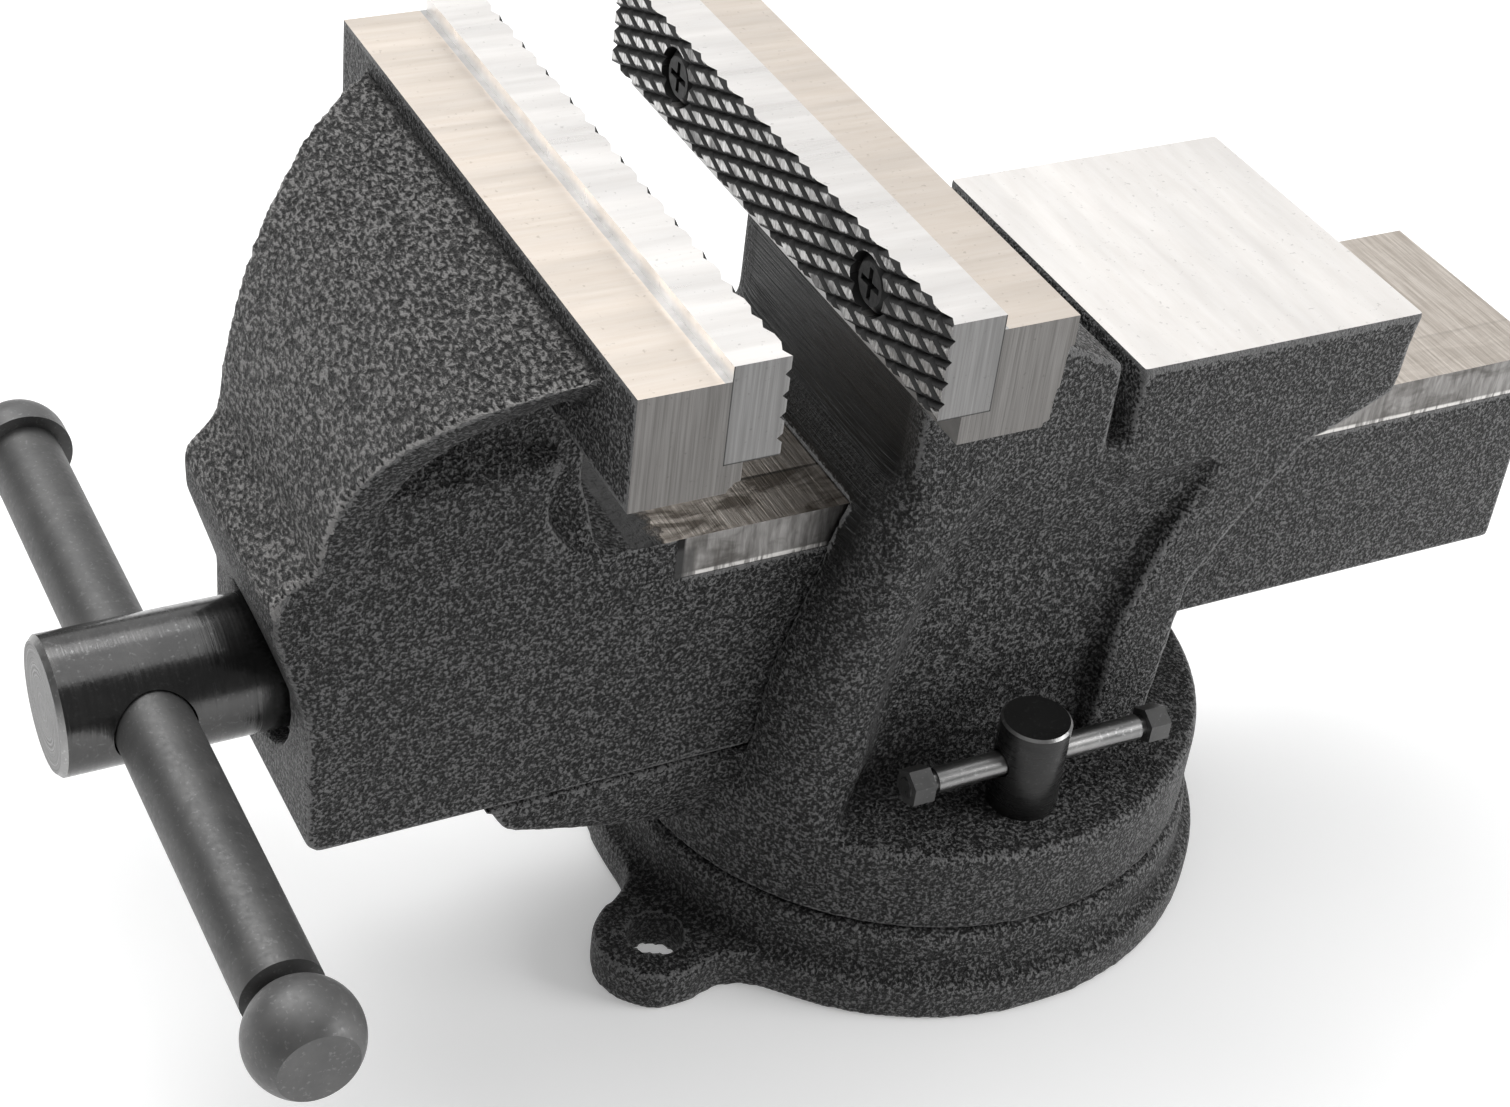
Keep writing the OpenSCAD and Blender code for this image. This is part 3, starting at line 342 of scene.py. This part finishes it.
def serrated_face():
    """Tooth tops of an insert: bright streaked diamonds with ragged grime in the grooves."""
    g = Graph("insert teeth")
    streaks = g.streaks((200.0, 1500.0, 90.0), 3.0, 0.65, 0.2)
    ragged = g.noise(1100.0, 3.0, 0.6)
    worn = g.noise(75.0, 2.0, 0.6)
    bright = g.blend(g.span(streaks, 0.35, 0.65), grey(0.34, 0.02), grey(0.78, 0.01))
    clean = 1.0
    for side, width in GRIME:
        rows = g.times(g.add(g.axis("Z"), -TEETH_Z), 1 / TOOTH_H)
        across = g.add(rows, g.times(g.axis("Y"), -side / TOOTH_LEN))
        part = g.calc("FLOORED_MODULO", across, 1.0)
        off = g.calc("ABSOLUTE", g.add(part, -0.5))
        away = g.add(g.times(off, TOOTH_H), g.times(g.add(ragged, worn), 1.1 * MM))
        clean = g.times(g.span(away, width, width + 0.3 * MM), clean)
    clean = g.times(clean, g.span(worn, 0.60, 0.68, 1.0, 0.3))
    dark = g.blend(g.span(ragged, 0.45, 0.6), grey(0.004), grey(0.028, 0.05))
    return g.finish(Base_Color=g.blend(clean, dark, bright), Metallic=clean,
                    Specular_IOR_Level=0.15, Roughness=g.span(ragged, 0.3, 0.7, 0.3, 0.5),
                    Normal=g.bump(g.add(streaks, ragged), 0.3 * MM, 0.8))


def faced_end():
    """The head's faced end: fine rings round the spindle under dark smudges."""
    g = Graph("faced head end")
    side, rise = g.axis("Y"), g.add(g.axis("Z"), -SPINDLE_Z)
    reach = g.calc("POWER", g.add(g.times(side, side), g.times(rise, rise)), 0.5)
    rings = g.node("ShaderNodeTexNoise", {
        "W": g.times(reach, 2200.0), "Scale": 1.0, "Detail": 2.0},
        noise_dimensions="1D").outputs["Fac"]
    smudge = g.noise(90.0, 3.0, 0.6, 0.5)
    tone = g.blend(g.span(rings, 0.35, 0.65), grey(0.045, 0.03), grey(0.10, 0.02))
    tone = g.blend(g.span(smudge, 0.42, 0.62, 0.0, 0.7), tone, grey(0.02, 0.05))
    return g.finish(Base_Color=tone, Metallic=0.85,
                    Roughness=g.span(rings, 0.3, 0.7, 0.24, 0.4),
                    Normal=g.bump(rings, TOOL_MARKS, 0.8))


def dark_steel(name, level, metallic, rough, lines=(900.0, 900.0, 900.0), strength=0.2):
    """Blackened, phosphated or worn steel with tool lines streaked along X, Y and Z."""
    g = Graph(name)
    fine = g.streaks(lines, 2.0, 0.6)
    smudge = g.noise(70.0, 4.0, 0.6, 0.6)
    pits = g.noise(1300.0, 2.0, 0.55)
    tone = g.blend(g.span(smudge, 0.35, 0.7), grey(level * 0.8), grey(level * 1.15, 0.01))
    tone = g.blend(g.span(pits, 0.6, 0.72, 0.0, 0.5), tone, grey(level * 2.0))
    dull = g.add(g.span(fine, 0.3, 0.7, rough - 0.06, rough + 0.08), g.times(smudge, 0.06))
    relief = g.add(fine, g.times(pits, 0.4))
    return g.finish(Base_Color=tone, Metallic=metallic, Roughness=dull,
                    Normal=g.bump(relief, TOOL_MARKS, strength))


PAINT = wrinkle_paint("charcoal wrinkle paint", scale=1500.0)
# The hood and its front take the same coat made lighter, as painted light for the light that falls
# on them.
HOOD = wrinkle_paint("hood wrinkle paint with painted light", scale=1400.0, warmth=0.02, stretch=(1, 0.55, 1),
                     level=1.75, crest=0.13)
TOP = machined("machined top", level=0.60, warmth=0.12, lines=(60.0, 900.0, 60.0),
               rough=0.36, stain=0.1, strength=0.14, contrast=0.93,
               seams=[("X", MOVING_SEAT, TOP_SEAM)])
ANVIL = machined("machined anvil", level=0.85, warmth=0.035, lines=(500.0, 70.0, 60.0),
                 rough=0.38, stain=0.1, strength=0.14, contrast=0.95)
# The jaw ends are coloured darker than bare ground steel, as painted shade for darker surroundings
# reflected in them.
ENDS = machined("ground end", level=0.21, warmth=0.04, lines=(1700.0, 80.0, 34.0),
                rough=0.36, stain=0.25, strength=0.6, contrast=0.62)
SLIDE = milled_slide()
STRIPS = milled_strip()
BARE = machined("bare steel", level=0.5, warmth=0.01, lines=(300.0, 300.0, 300.0), rough=0.4)
INSERT_TOP = machined("ground insert", level=0.77, warmth=0.03, lines=(60.0, 700.0, 300.0),
                      rough=0.3, stain=0.04, strength=0.14, contrast=0.95)
# The insert ends are likewise coloured darker than bare ground steel, as painted shade.
INSERT_END = machined("ground insert end", level=0.255, warmth=0.012,
                      lines=(1700.0, 80.0, 34.0), rough=0.36, stain=0.12, strength=0.6,
                      contrast=0.7, seams=[("X", FIXED_SEAT, SEAM), ("X", MOVING_SEAT, SEAM),
                                           ("Z", INSERT_LO.z, SEAM)])
TEETH = serrated_face()
GROOVES = dark_steel("blackened grooves", level=0.012, metallic=0.2, rough=0.55)
OXIDE = dark_steel("black oxide", level=0.10, metallic=0.95, rough=0.17,
                   lines=(1600.0, 30.0, 30.0), strength=0.35)
SCREWS = dark_steel("black screws", level=0.010, metallic=0.2, rough=0.5, strength=0.8)
HANDLE = dark_steel("handle phosphate", level=0.09, metallic=0.35, rough=0.44)
KNOBS = dark_steel("knob phosphate", level=0.125, metallic=0.3, rough=0.42)
LOCK_BAR = dark_steel("lock bar", level=0.30, metallic=1.0, rough=0.3,
                      lines=(60.0, 700.0, 700.0))
LOCK_HEAD = dark_steel("lock head", level=0.04, metallic=0.7, rough=0.24,
                       lines=(60.0, 60.0, 900.0))
NUTS = dark_steel("end nuts", level=0.11, metallic=0.7, rough=0.38)
WORN = dark_steel("worn edge", level=0.30, metallic=1.0, rough=0.35)
FACED = faced_end()


# Materials by face

def dress(mesh, material):
    mesh.materials.clear()
    mesh.materials.append(material)


def give_faces(mesh, rules):
    """Gives each rule's material to the faces for which it holds. A later rule wins."""
    centres, normals = (np.empty(len(mesh.polygons) * 3) for _ in range(2))
    mesh.polygons.foreach_get("center", centres)
    mesh.polygons.foreach_get("normal", normals)
    x, y, z = centres.reshape(-1, 3).T
    chosen = np.zeros(len(mesh.polygons), dtype=np.int32)
    for material, test in rules:
        mesh.materials.append(material)
        chosen[test(x, y, z, normals.reshape(-1, 3))] = len(mesh.materials) - 1
    mesh.polygons.foreach_set("material_index", chosen)


def shade_smooth(mesh, sharp_degrees):
    mesh.polygons.foreach_set("use_smooth", np.ones(len(mesh.polygons), dtype=bool))
    mesh.set_sharp_from_angle(angle=math.radians(sharp_degrees))


def paint_skin(skin, rules):
    """Paints a cast skin and gives its machined faces the materials of the rules."""
    dress(skin.data, PAINT)
    give_faces(skin.data, rules)
    shade_smooth(skin.data, 38)


def near(values, place, slack=0.25 * MM):
    return np.abs(values - place) < slack


def ramp(values, start, end):
    """0 before the start, 1 past the end, even in between."""
    return np.clip((values - start) / (end - start), 0, 1)


# Cast skins

class Zone:
    """A box in the frame that keeps its machined edges."""

    def __init__(self, low, high):
        self.low, self.high = np.array(low), np.array(high)

    def distance(self, points):
        out = np.maximum(np.maximum(self.low - points, points - self.high), 0)
        return np.linalg.norm(out, axis=1)


def planes_of(mesh, zone, least_area=4e-6, flat=0.9999, slack=0.01 * MM):
    """Places of the flat faces across each axis that lie in a zone."""
    places = [set(), set(), set()]
    for face in mesh.polygons:
        axis = int(np.argmax(np.abs(face.normal)))
        if abs(face.normal[axis]) > flat and face.area > least_area:
            if zone.distance(np.array([face.center[:]]))[0] < slack:
                places[axis].add(round(face.center[axis], 6))
    return [np.array(sorted(found)) for found in places]


def laplace(points, edges, degree):
    """How far each point lies from the mean of its neighbours."""
    total = np.zeros_like(points)
    for axis in range(3):
        total[:, axis] = (np.bincount(edges[:, 0], points[edges[:, 1], axis], len(points))
                          + np.bincount(edges[:, 1], points[edges[:, 0], axis], len(points)))
    return total / degree - points


def edges_of(mesh, points, edges, degree):
    """Near 1 on the outer edges of a mesh, 0 on its faces and below 0 in inner corners."""
    normals = np.empty(len(points) * 3)
    mesh.vertices.foreach_get("normal", normals)
    soft = points.copy()
    for _ in range(int(6 * PASSES) + 1):
        soft += 0.5 * laplace(soft, edges, degree)
    return np.einsum("ij,ij->i", points - soft, normals.reshape(-1, 3)) / EDGE_BULGE


def even_copy(node):
    """A new object with a fine even mesh of a node, and the node's own mesh with joined points."""
    shape = bmesh.new()
    shape.from_mesh(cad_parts[node].data)
    bmesh.ops.remove_doubles(shape, verts=shape.verts, dist=1e-6)
    source = bpy.data.meshes.new(node + "_skin")
    shape.to_mesh(source)
    shape.free()
    skin = bpy.data.objects.new(node + "_skin", source)
    bpy.context.collection.objects.link(skin)
    even = skin.modifiers.new("even", "REMESH")
    even.mode = "VOXEL"
    even.voxel_size = VOXEL
    evaluated = skin.evaluated_get(bpy.context.evaluated_depsgraph_get())
    made = bpy.data.meshes.new_from_object(evaluated)
    skin.modifiers.clear()
    skin.data = made
    made.materials.clear()
    return skin, source


def cast_skin(node, zones, rounds, holes=()):
    """Copies a casting as a fine even mesh with rounded cast edges and crisp machined zones."""
    skin, source = even_copy(node)
    made = skin.data
    count = len(made.vertices)
    points = np.empty(count * 3)
    made.vertices.foreach_get("co", points)
    points = points.reshape(-1, 3)
    edges = np.empty(len(made.edges) * 2, dtype=np.int64)
    made.edges.foreach_get("vertices", edges)
    edges = edges.reshape(-1, 2)
    degree = np.bincount(edges.ravel(), minlength=count)[:, None]

    for zone in zones:
        inside = zone.distance(points) < VOXEL * SNAP
        for axis, places in enumerate(planes_of(source, zone)):
            for place in places:
                snapped = inside & (np.abs(points[:, axis] - place) < VOXEL * SNAP)
                points[snapped, axis] = place

    free = np.ones(count)
    for zone in zones:
        free = np.minimum(free, zone.distance(points) / FADE)
    for centre, reach in holes:
        away = np.abs(np.linalg.norm(points[:, :2] - centre, axis=1) - reach)
        free = np.minimum(free, away / FADE)
    for _ in range(max(2, int(rounds * PASSES))):
        points += 0.5 * free[:, None] * laplace(points, edges, degree)

    inner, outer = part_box(node)
    points = np.clip(points, np.array(inner), np.array(outer))
    made.vertices.foreach_set("co", points.ravel())
    made.update()
    layer = made.attributes.new("edge", "FLOAT", "POINT")
    layer.data.foreach_set("value", edges_of(made, points, edges, degree))
    return skin


def mark_milled(skin, share):
    """Stores how far each point's paint is the thin coat of a milled face, from 0 to 1."""
    mesh = skin.data
    places, normals = (np.empty(len(mesh.vertices) * 3) for _ in range(2))
    mesh.vertices.foreach_get("co", places)
    mesh.vertices.foreach_get("normal", normals)
    x, y, z = places.reshape(-1, 3).T
    layer = mesh.attributes.new("milled", "FLOAT", "POINT")
    layer.data.foreach_set("value", share(x, y, z, normals.reshape(-1, 3)).astype(float))


def on_hood(x, y, z, n):
    across, rise = x - HOOD_X, z - HOOD_Z
    outward = across * n[:, 0] + rise * n[:, 2]
    return near(np.hypot(across, rise), HOOD_R, 1.2 * MM) & (rise > 0) & (outward > 0.6 * HOOD_R)


def on_hood_front(x, y, z, n):
    return (z > SLIDE_TOP) & (x < HOOD_X - 0.95 * HOOD_R) & (n[:, 0] < -0.4)


def on_jaw_end(x, y, z, n):
    return near(np.abs(y), JAW_HALF) & (np.abs(n[:, 1]) > FACING)


def on_strip(x, y, z, n):
    return ((z > STRIP_FOOT) & (z < SLIDE_TOP) & (x > STRIP_FRONT)
            & (np.abs(y) > STRIP_MIDDLE) & (np.abs(n[:, 1]) > 0.6))


def on_moving_seat(x, y, z, n):
    return (z > JAW_END - MARGIN) & (x > MOVING_SEAT - MARGIN) & (np.abs(n[:, 1]) < 0.5)


def on_fixed_seat(x, y, z, n):
    return (z > JAW_END - MARGIN) & (x < FIXED_SEAT + MARGIN) & (np.abs(n[:, 1]) < 0.5)


def neck_front(x, y, z, n):
    """How far a point lies on the milled front of the neck under the fixed jaw."""
    return (ramp(-n[:, 0], 0.7, 0.9) * ramp(z, NECK_FOOT, NECK_FULL)
            * ramp(np.abs(y), NECK_EDGE, NECK_HALF) * (x < NECK_BACK) * (z < JAW_END))


jaw_zone = Zone((MOVING_BACK, -JAW_HALF, JAW_END), (MOVING_SEAT + LEDGE, JAW_HALF, JAW_TOP))
slide_zone = Zone((STRIP_FRONT, -SLIDE_HALF, STRIP_FOOT), (JAW_HI.x, SLIDE_HALF, SLIDE_TOP))
moving = cast_skin("moving_jaw", [jaw_zone, slide_zone], 4)
paint_skin(moving, [
    (HOOD, on_hood),
    (HOOD, on_hood_front),
    (TOP, lambda x, y, z, n: near(z, JAW_TOP) & (n[:, 2] > FACING) & (x > MOVING_BACK)),
    (ENDS, on_jaw_end),
    (BARE, on_moving_seat),
    (SLIDE, lambda x, y, z, n: (near(z, SLIDE_TOP, 0.5 * MM) & (n[:, 2] > FACING)
                                & (x > SLIDE_FRONT))),
    (STRIPS, on_strip),
])
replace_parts(moving, "moving_jaw")
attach(moving, "sliding_jaw")

fixed_zone = Zone((FIXED_STEP, -JAW_HALF, JAW_END), (FIXED_BACK, JAW_HALF, JAW_TOP))
anvil_zone = Zone((ANVIL_FRONT, -ANVIL_HALF, ANVIL_TOP - MARGIN),
                  (BODY_HI.x, ANVIL_HALF, ANVIL_TOP))
passage_zone = Zone((BODY_LO.x, -SLIDE_HALF - RUN_GAP, STRIP_FOOT),
                    (BODY_HI.x, SLIDE_HALF + RUN_GAP, SLIDE_TOP + RUN_GAP))
fixed = cast_skin("fixed_body", [fixed_zone, anvil_zone, passage_zone], 5)
paint_skin(fixed, [
    (TOP, lambda x, y, z, n: near(z, JAW_TOP) & (n[:, 2] > FACING)),
    (ENDS, on_jaw_end),
    (BARE, on_fixed_seat),
    (ANVIL, lambda x, y, z, n: near(z, ANVIL_TOP) & (n[:, 2] > FACING) & (x > ANVIL_FRONT)),
])
mark_milled(fixed, neck_front)
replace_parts(fixed, "fixed_body")
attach(fixed, "vise_body")

lug_place = LUG_REACH * np.array([math.cos(LUG_ANGLE), math.sin(LUG_ANGLE)])
base = cast_skin("swivel_base", [], 6, [(lug_place, LUG_HOLE), (-lug_place, LUG_HOLE)])
paint_skin(base, [
    (BARE, lambda x, y, z, n: near(z, 0) & (n[:, 2] < -FACING)),
])
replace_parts(base, "swivel_base")
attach(base, "base")


# Spindle, which gets its screw thread: the CAD has a plain cylinder there

def add_screw_piece(name, mesh):
    obj = bpy.data.objects.new(name, mesh)
    bpy.context.collection.objects.link(obj)
    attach(obj, "screw")
    return obj


def shortened_spindle(start):
    """The CAD's head and journal, with the plain shaft behind the collar drawn in."""
    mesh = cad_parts["spindle"].data.copy()
    for point in mesh.vertices:
        if point.co.x > start + MARGIN:
            point.co.x = start
    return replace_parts(add_screw_piece("spindle_head", mesh), "spindle")


def spindle_thread(start, end, columns=48):
    """A right-hand trapezoidal thread from one place on the spindle's axis to another.

    A row of points climbs one lead a turn. Four rows make a turn's profile: each has its
    share of the lead and its radius. The last column joins the first of the next turn.
    """
    profile = ((0.0, ROOT), (0.38, ROOT), (0.5, CREST), (0.88, CREST))
    steps = len(profile)
    rows = steps * (math.ceil((end - start) / LEAD) + 2)
    shape = bmesh.new()
    points = []
    for row in range(rows):
        place, reach = profile[row % steps]
        for column in range(columns):
            x = start + LEAD * (row // steps + place + column / columns - 1)
            x = min(max(x, start), end - END_GAP)
            radius = min(reach, CREST - max(0, x - end + TIP))
            angle = 2 * math.pi * column / columns
            points.append(shape.verts.new(
                (x, radius * math.cos(angle), SPINDLE_Z + radius * math.sin(angle))))
    for row in range(rows - steps - 1):
        for column in range(columns):
            corner = row * columns + column
            last = column == columns - 1
            after = (row + steps) * columns if last else corner + 1
            shape.faces.new([points[corner], points[corner + columns],
                             points[after + columns], points[after]])
    tip = CREST - TIP
    shape.faces.new([
        shape.verts.new((end, tip * math.cos(a), SPINDLE_Z + tip * math.sin(a)))
        for a in np.linspace(0, 2 * math.pi, columns, endpoint=False)])
    bmesh.ops.dissolve_degenerate(shape, dist=1e-7, edges=shape.edges[:])
    bmesh.ops.recalc_face_normals(shape, faces=shape.faces[:])
    mesh = bpy.data.meshes.new("spindle_thread")
    shape.to_mesh(mesh)
    shape.free()
    shade_smooth(mesh, 30)
    return add_screw_piece("spindle_thread", mesh)


head = shortened_spindle(COLLAR_HI.x)
dress(head.data, OXIDE)
dress(spindle_thread(COLLAR_HI.x, SPINDLE_HI.x).data, BARE)
give_faces(head.data, [
    (WORN, lambda x, y, z, n: ((x < SPINDLE_LO.x + 1.1 * MM) & (n[:, 0] < -0.2)
                               & (n[:, 0] > -0.95))),
    (FACED, lambda x, y, z, n: (x < SPINDLE_LO.x + 0.1 * MM) & (n[:, 0] < -0.95))])


# Steel pieces, which keep their CAD shapes and take materials

STEEL_PIECES = {
    "fixed_insert_screws": SCREWS, "moving_insert_screws": SCREWS, "spindle_nut": BARE,
    "nut_bolt": SCREWS, "nut_bolt_washer": BARE, "near_tee_nut": BARE, "far_tee_nut": BARE,
    "thrust_washer": BARE, "spindle_spring": BARE, "spindle_collar": BARE,
    "collar_pin": BARE, "handle_bar": HANDLE, "handle_ball": KNOBS, "handle_knob": KNOBS,
    "near_lock_screw": LOCK_HEAD, "near_lock_bar": LOCK_BAR, "near_bar_nuts": NUTS,
    "far_lock_screw": LOCK_HEAD, "far_lock_bar": LOCK_BAR, "far_bar_nuts": NUTS}
for node, material in STEEL_PIECES.items():
    dress(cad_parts[node].data, material)

for node in ("near_lock_screw", "far_lock_screw"):
    give_faces(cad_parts[node].data, [
        (WORN, lambda x, y, z, n: ((z > LOCK_HI.z - MARGIN) & (n[:, 2] > 0.2)
                                   & (n[:, 2] < 0.95)))])


def dress_insert(node, face_x, outward):
    """Ground top, foot, back and ends, streaked tooth tops and blackened grooves."""
    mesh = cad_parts[node].data
    dress(mesh, GROOVES)
    give_faces(mesh, [
        (INSERT_TOP, lambda x, y, z, n: ((np.abs(n[:, 2]) > 0.99)
                                         | (n[:, 0] * outward < -0.99))),
        (INSERT_END, lambda x, y, z, n: np.abs(n[:, 1]) > 0.99),
        (TEETH, lambda x, y, z, n: near(x, face_x, 0.05 * MM) & (n[:, 0] * outward > 0.9))])


dress_insert("fixed_insert", INSERT_LO.x, -1)
dress_insert("moving_insert", SLIDER_HI.x, 1)


# Studio

FLOOR_LEVEL = 0.92
CENTRE = (0.0, 0.0, 0.1)
WHITE = (1, 1, 1, 1)

bpy.ops.mesh.primitive_plane_add(size=14, location=(0, 0, 0))
floor = bpy.context.object
floor.name = "floor"
pale = Graph("pale floor")
tone = pale.blend(pale.noise(3.0), grey(FLOOR_LEVEL * 0.985), grey(FLOOR_LEVEL))
floor.data.materials.append(pale.finish(
    Base_Color=tone, Roughness=0.9, Emission_Color=WHITE, Emission_Strength=0.22))

bpy.context.scene.view_settings.view_transform = "Standard"
world = bpy.data.worlds.new("studio")
bpy.context.scene.world = world
world.use_nodes = True
background = world.node_tree.nodes["Background"].inputs
background["Color"].default_value = WHITE
background["Strength"].default_value = 0.17


def soft_light(name, place, size, watts):
    """A rectangular light that looks at the vise."""
    light = bpy.data.lights.new(name, "AREA")
    light.shape = "RECTANGLE"
    light.size, light.size_y = size
    light.energy = watts
    obj = bpy.data.objects.new(name, light)
    obj.location = place
    obj.rotation_mode = "QUATERNION"
    obj.rotation_quaternion = (Vector(CENTRE) - Vector(place)).to_track_quat("-Z", "Y")
    bpy.context.collection.objects.link(obj)


soft_light("overhead", (-0.1, 0.2, 1.25), size=(1.6, 1.6), watts=11)
soft_light("back", (0.56, 0.86, 0.85), size=(1.6, 1.3), watts=4.9)
soft_light("key", (-0.36, 0.7, 1.0), size=(0.7, 0.7), watts=7)
soft_light("right", (0.75, -0.55, 0.45), size=(0.5, 0.5), watts=5.4)

# The photograph's camera, in millimetres and degrees
CAMERA_PLACE = (-262.2, -369.2, 399.5)
YAW, PITCH, ROLL = math.radians(31.1), math.radians(36.93), math.radians(7.43)
LENS, SENSOR = 66.6, 36

ahead = Vector((math.sin(YAW) * math.cos(PITCH), math.cos(YAW) * math.cos(PITCH),
                -math.sin(PITCH)))
level = ahead.cross(Vector((0, 0, 1))).normalized()
upright = level.cross(ahead)
right = math.cos(ROLL) * level + math.sin(ROLL) * upright
up = -math.sin(ROLL) * level + math.cos(ROLL) * upright
camera = bpy.data.objects.new("camera", bpy.data.cameras.new("camera"))
camera.data.lens = LENS
camera.data.sensor_width = SENSOR
camera.data.clip_start = 10 * MM
camera.matrix_world = (Matrix.Translation(Vector(CAMERA_PLACE) * MM)
                       @ Matrix((right, up, -ahead)).transposed().to_4x4())
bpy.context.collection.objects.link(camera)
bpy.context.scene.camera = camera
